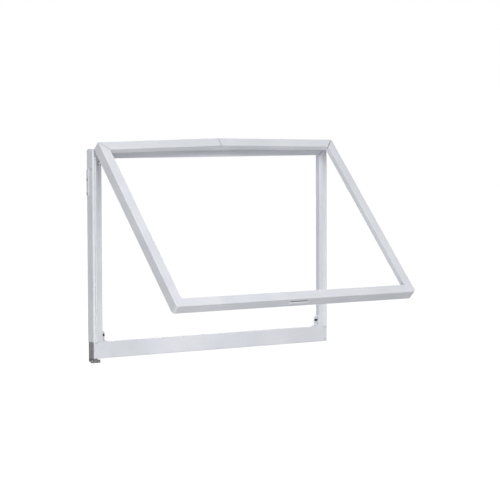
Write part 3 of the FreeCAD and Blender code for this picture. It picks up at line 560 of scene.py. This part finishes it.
class ScrewTree:
    """The geometry node tree of a pan-head screw with a cross recess and a rolled thread."""

    FIELDS = ("Head Radius", "Head Height", "Shank Radius", "Length", "Pitch")
    HEAD_SIDES = 28
    DOME_DROP = 0.5           # how far the head's rim lies below its middle, in head heights
    DOME_POWER = 4.0
    RECESS = (1.25, 0.26)     # length and width of each slot of the cross, in head radii
    RECESS_HEIGHT = 1.1       # in head heights, half of it above the head
    CORE_SIDES = 20
    CORE_RADIUS = 0.8         # in shank radii, as the next two
    THREAD_RADIUS = 0.82
    RIDGE_RADIUS = 0.16
    RIDGE_SIDES = 3
    COIL_STEPS = 18           # to a turn
    THREAD_SPAN = 0.9         # in shank lengths, as the next
    THREAD_START = 0.05

    def __init__(self) -> None:
        """Builds the tree once."""
        self.tree = bpy.data.node_groups.new("screws", "GeometryNodeTree")
        face = self.tree.interface
        face.new_socket("Geometry", in_out="INPUT", socket_type="NodeSocketGeometry")
        self.ids = {n: face.new_socket(n, in_out="INPUT", socket_type="NodeSocketFloat").identifier
                    for n in self.FIELDS}
        self.ids["Material"] = face.new_socket("Material", in_out="INPUT",
                                               socket_type="NodeSocketMaterial").identifier
        face.new_socket("Geometry", in_out="OUTPUT", socket_type="NodeSocketGeometry")
        self.entry = self.tree.nodes.new("NodeGroupInput")
        self._wire()

    def node(self, kind: str, settings: Optional[Dict[str, Any]] = None,
             inputs: Optional[Dict[Any, Any]] = None) -> bpy.types.Node:
        """Adds any node.

        Args:
            kind: The node's type; a geometry node's is given without its first word.
            settings: Attributes that are set first.
            inputs: Numbers or sockets by input name or index.

        Returns:
            The new node.
        """
        known = kind.startswith(("Shader", "Function"))
        made = self.tree.nodes.new(kind if known else f"GeometryNode{kind}")
        for key, value in (settings or {}).items():
            setattr(made, key, value)
        for key, value in (inputs or {}).items():
            if isinstance(value, Socket):
                self.tree.links.new(value, made.inputs[key])
            else:
                made.inputs[key].default_value = value
        return made

    def math(self, operation: str, first: Any, second: Any) -> Socket:
        """The result of one Math node."""
        return self.node("ShaderNodeMath", {"operation": operation}, {0: first, 1: second}).outputs[0]

    def size(self, name: str, factor: float = 1.0) -> Socket:
        """A named input, times factor."""
        return self.math("MULTIPLY", self.entry.outputs[name], factor)

    def vector(self, x: Any, y: Any, z: Any) -> Socket:
        """Three numbers as a vector."""
        return self.node("ShaderNodeCombineXYZ", {}, {0: x, 1: y, 2: z}).outputs[0]

    def shifted(self, mesh: Socket, z: Socket) -> Socket:
        """Moves a mesh along Z."""
        lift = self.vector(0.0, 0.0, z)
        return self.node("Transform", {}, {"Geometry": mesh, "Translation": lift}).outputs[0]

    def _head(self) -> Socket:
        """Builds a domed head with a cross recess, its underside at Z = 0 and its top towards -Z.

        Returns:
            The head's mesh.
        """
        disc = self.node("MeshCylinder", {}, {"Vertices": self.HEAD_SIDES, "Side Segments": 4,
                                              "Fill Segments": 5, "Radius": self.size("Head Radius"),
                                              "Depth": self.size("Head Height")})
        low = self.shifted(disc.outputs[0], self.size("Head Height", -0.5))
        place = self.node("InputPosition").outputs[0]
        parts = self.node("ShaderNodeSeparateXYZ", {}, {0: place})
        flat = self.vector(parts.outputs[0], parts.outputs[1], 0.0)
        radius = self.node("ShaderNodeVectorMath", {"operation": "LENGTH"}, {0: flat}).outputs["Value"]
        share = self.math("DIVIDE", radius, self.size("Head Radius"))
        curve = self.math("POWER", share, self.DOME_POWER)
        height = self.math("DIVIDE", parts.outputs[2], self.size("Head Height", -1.0))
        fall = self.math("MULTIPLY", curve, height)
        drop = self.math("MULTIPLY", fall, self.size("Head Height", self.DOME_DROP))
        domed = self.node("SetPosition", {}, {"Geometry": low, "Offset": self.vector(0.0, 0.0, drop)})
        bars = []
        for x, y in (self.RECESS, self.RECESS[::-1]):
            span = self.vector(self.size("Head Radius", x), self.size("Head Radius", y),
                               self.size("Head Height", self.RECESS_HEIGHT))
            bar = self.node("MeshCube", {}, {"Size": span})
            bars.append(self.shifted(bar.outputs[0], self.size("Head Height", -1.0)))
        cut = self.node("MeshBoolean", {"operation": "DIFFERENCE"}, {0: domed.outputs[0]})
        for bar in bars:
            self.tree.links.new(bar, cut.inputs[1])
        return cut.outputs[0]

    def _shank(self) -> Tuple[Socket, Socket]:
        """Builds the core and the thread wound on it, towards +Z.

        Returns:
            The core's mesh and the thread's.
        """
        core = self.node("MeshCylinder", {}, {"Vertices": self.CORE_SIDES,
                                              "Radius": self.size("Shank Radius", self.CORE_RADIUS),
                                              "Depth": self.size("Length")})
        turns = self.math("DIVIDE", self.size("Length", self.THREAD_SPAN), self.entry.outputs["Pitch"])
        coil = self.node("CurveSpiral", {}, {"Resolution": self.COIL_STEPS, "Rotations": turns,
                                             "Start Radius": self.size("Shank Radius", self.THREAD_RADIUS),
                                             "End Radius": self.size("Shank Radius", self.THREAD_RADIUS),
                                             "Height": self.size("Length", self.THREAD_SPAN)})
        thick = self.size("Shank Radius", self.RIDGE_RADIUS)
        ridge = self.node("CurvePrimitiveCircle", {}, {"Resolution": self.RIDGE_SIDES, "Radius": thick})
        swept = self.node("CurveToMesh", {}, {"Curve": coil.outputs[0], "Profile Curve": ridge.outputs[0],
                                              "Fill Caps": True})
        return (self.shifted(core.outputs[0], self.size("Length", 0.5)),
                self.shifted(swept.outputs[0], self.size("Length", self.THREAD_START)))

    def _wire(self) -> None:
        """Joins head and shank, puts one on each point and realizes them."""
        join = self.node("JoinGeometry")
        for mesh in (self._head(), *self._shank()):
            self.tree.links.new(mesh, join.inputs[0])
        aim = self.node("InputNamedAttribute", {"data_type": "FLOAT_VECTOR"}, {"Name": "aim"})
        turn = self.node("FunctionNodeAlignRotationToVector", {"axis": "Z"},
                         {"Vector": aim.outputs[0]})
        spread = self.node("InstanceOnPoints", {}, {"Points": self.entry.outputs["Geometry"],
                                                    "Instance": join.outputs[0], "Rotation": turn.outputs[0]})
        real = self.node("RealizeInstances", {}, {0: spread.outputs[0]})
        dressed = self.node("SetMaterial", {}, {"Geometry": real.outputs[0],
                                                "Material": self.entry.outputs["Material"]})
        out = self.tree.nodes.new("NodeGroupOutput")
        self.tree.links.new(dressed.outputs[0], out.inputs[0])


@dataclass
class Screws:
    """All the screws of one CAD group node."""

    node: str
    tree: ScrewTree
    pitch_mm: float = 1.1

    def build(self, paint: Paintbox) -> bpy.types.Object:
        """Makes the group's screws as one mesh.

        Args:
            paint: The finishes.

        Returns:
            The finished piece.
        """
        places = [measure_screw(*part) for part in loose_parts(frame["nodes"][self.node].data)]
        seats = bpy.data.meshes.new(f"{self.node}_seats")
        seats.from_pydata([p.seat for p in places], [], [])
        aims = seats.attributes.new("aim", "FLOAT_VECTOR", "POINT")
        for datum, place in zip(aims.data, places):
            datum.vector = place.axis
        carrier = bpy.data.objects.new(f"{self.node}_carrier", seats)
        bpy.context.scene.collection.objects.link(carrier)
        modifier = carrier.modifiers.new("screws", "NODES")
        modifier.node_group = self.tree.tree
        first = places[0]
        sizes = (first.head_radius, first.head_height, first.shank_radius, first.length, self.pitch_mm * MM)
        for name, value in zip(ScrewTree.FIELDS, sizes):
            modifier[self.tree.ids[name]] = value
        slot = paint.slots[self.node]
        modifier[self.tree.ids["Material"]] = paint.made[slot]
        bpy.context.view_layer.update()
        shown = carrier.evaluated_get(bpy.context.evaluated_depsgraph_get())
        mesh = bpy.data.meshes.new_from_object(shown)
        bpy.data.objects.remove(carrier)
        piece = bpy.data.objects.new(f"{self.node}_threaded", mesh)
        bpy.context.scene.collection.objects.link(piece)
        paint.dress(piece, slot)
        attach(piece, body_of(self.node))
        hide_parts(self.node)
        LOG.info("%s: %d screws, head %.1f mm", self.node, len(places), first.head_radius / MM)
        return piece


# ---- studio ---------------------------------------------------------------------------------------------
@dataclass(frozen=True)
class Lamp:
    """A square soft light that points at a target and isn't seen itself."""

    name: str
    place: Tuple[float, float, float]
    target: Tuple[float, float, float]
    side: float
    watts: float

    def build(self) -> None:
        """Hangs the lamp."""
        data = bpy.data.lights.new(self.name, "AREA")
        data.size = self.side
        data.energy = self.watts
        lamp = bpy.data.objects.new(self.name, data)
        lamp.location = self.place
        lamp.rotation_euler = (Vector(self.target) - Vector(self.place)).to_track_quat("-Z", "Y").to_euler()
        lamp.visible_camera = False
        bpy.context.scene.collection.objects.link(lamp)


LAMPS = (
    Lamp("key", (-0.9, -3.8, 3.2), (0.0, -0.2, 0.3), 2.2, 126.0),
    Lamp("side", (-4.2, -0.9, 1.0), (0.0, 0.0, 0.3), 2.6, 44.0),
    Lamp("low", (-1.4, -3.4, -0.9), (0.0, -0.4, 0.3), 2.4, 24.0),
    Lamp("under", (-0.5, -0.8, -1.5), (0.0, -0.4, 0.3), 1.6, 8.0),
    Lamp("back", (2.6, 3.4, 2.4), (0.0, 0.0, 0.3), 2.4, 75.0),
)


@dataclass
class Studio:
    """Pale floor, soft lights and the camera."""

    eye: Tuple[float, float, float] = (-3.813, -5.769, 0.759)
    turn_deg: Tuple[float, float, float] = (86.4, 0.18, -34.6)
    lens_mm: float = 152.3
    sensor_mm: float = 36.0
    reach: float = 200.0
    floor_drop: float = 2.2
    floor_half: float = 60.0
    floor_grey: float = 0.45
    floor_glow: float = 0.9
    sky_light: float = 0.29

    def build(self) -> None:
        """Makes everything that isn't the object."""
        scene = bpy.context.scene
        scene.view_settings.view_transform = "Standard"
        self._camera(scene)
        self._world(scene)
        self._floor()
        for lamp in LAMPS:
            lamp.build()

    def _camera(self, scene: bpy.types.Scene) -> None:
        """Sets up the camera.

        Args:
            scene: The scene that it films.
        """
        camera = bpy.data.objects.new("camera", bpy.data.cameras.new("camera"))
        camera.location = self.eye
        camera.rotation_euler = [math.radians(a) for a in self.turn_deg]
        camera.data.lens = self.lens_mm
        camera.data.sensor_width = self.sensor_mm
        camera.data.clip_end = self.reach
        scene.collection.objects.link(camera)
        scene.camera = camera

    def _world(self, scene: bpy.types.Scene) -> None:
        """Gives the scene white surroundings that light the object less than they show.

        Args:
            scene: The scene.
        """
        world = bpy.data.worlds.new("surround")
        world.use_nodes = True
        tree = world.node_tree
        back = tree.nodes["Background"]
        back.inputs["Color"].default_value = (1, 1, 1, 1)
        path = tree.nodes.new("ShaderNodeLightPath")
        level = tree.nodes.new("ShaderNodeMapRange")
        level.inputs["To Min"].default_value = self.sky_light
        level.inputs["To Max"].default_value = 1.0
        tree.links.new(path.outputs["Is Camera Ray"], level.inputs["Value"])
        tree.links.new(level.outputs[0], back.inputs["Strength"])
        scene.world = world

    def _floor(self) -> None:
        """Lays a wide pale floor well below the window."""
        mesh = bpy.data.meshes.new("floor")
        half = self.floor_half
        z = CAD_BOX[0][2] - self.floor_drop
        mesh.from_pydata([(-half, -half, z), (half, -half, z), (half, half, z), (-half, half, z)], [],
                         [(0, 1, 2, 3)])
        floor = bpy.data.objects.new("floor", mesh)
        bpy.context.scene.collection.objects.link(floor)
        board = Board("floor")
        board.constant(Roughness=0.9, Emission_Strength=self.floor_glow)
        board.feed(board.shader.inputs["Base Color"], (*(self.floor_grey,) * 3, 1))
        board.feed(board.shader.inputs["Emission Color"], (1, 1, 1, 1))
        mesh.materials.append(board.material)
        floor.visible_diffuse = False
        floor.visible_glossy = False


# ---- sub-assemblies ----------------------------------------------------------------------------------------
@dataclass
class FixedFrame:
    """The four members of the fixed frame and what is screwed to them."""

    members: SoftEdged = field(default_factory=lambda: SoftEdged(
        0.25, ("frame_jamb_left", "frame_jamb_right", "frame_head", "frame_sill")))
    pressings: SoftEdged = field(default_factory=lambda: SoftEdged(
        0.35, ("corner_bracket_left", "corner_bracket_right", "wall_strap_left", "wall_strap_right")))

    def build(self, paint: Paintbox) -> List[bpy.types.Object]:
        """Makes the frame's rounded pieces."""
        return self.members.build(paint) + self.pressings.build(paint)


@dataclass
class Sash:
    """The opening sash."""

    members: SoftEdged = field(default_factory=lambda: SoftEdged(
        0.25, ("sash_stile_left", "sash_stile_right", "sash_top_rail_left", "sash_top_rail_right",
               "sash_bottom_rail", "sash_finger_pull")))

    def build(self, paint: Paintbox) -> List[bpy.types.Object]:
        """Makes the sash's rounded pieces."""
        return self.members.build(paint)


@dataclass
class CrankDrive:
    """Housing and crank."""

    housing: SoftEdged = field(default_factory=lambda: SoftEdged(0.5, ("crank_housing",), 3))
    crank: SoftEdged = field(default_factory=lambda: SoftEdged(1.1, ("crank_handle",), 4))

    def build(self, paint: Paintbox) -> List[bpy.types.Object]:
        """Makes the castings with rounded edges."""
        return self.housing.build(paint) + self.crank.build(paint)


def main() -> None:
    """Builds the looks in order."""
    logging.basicConfig(level=logging.INFO)
    paint = Paintbox()
    paint.dress_nodes()
    pieces = FixedFrame().build(paint) + Sash().build(paint) + CrankDrive().build(paint)
    tree = ScrewTree()
    groups = [n for n in sorted(frame["nodes"]) if "screw" in n and n != "crank_set_screw"]
    pieces += [Screws(node, tree).build(paint) for node in groups]
    Studio().build()
    LOG.info("%d pieces made", len(pieces))


if __name__ == "__main__":
    main()
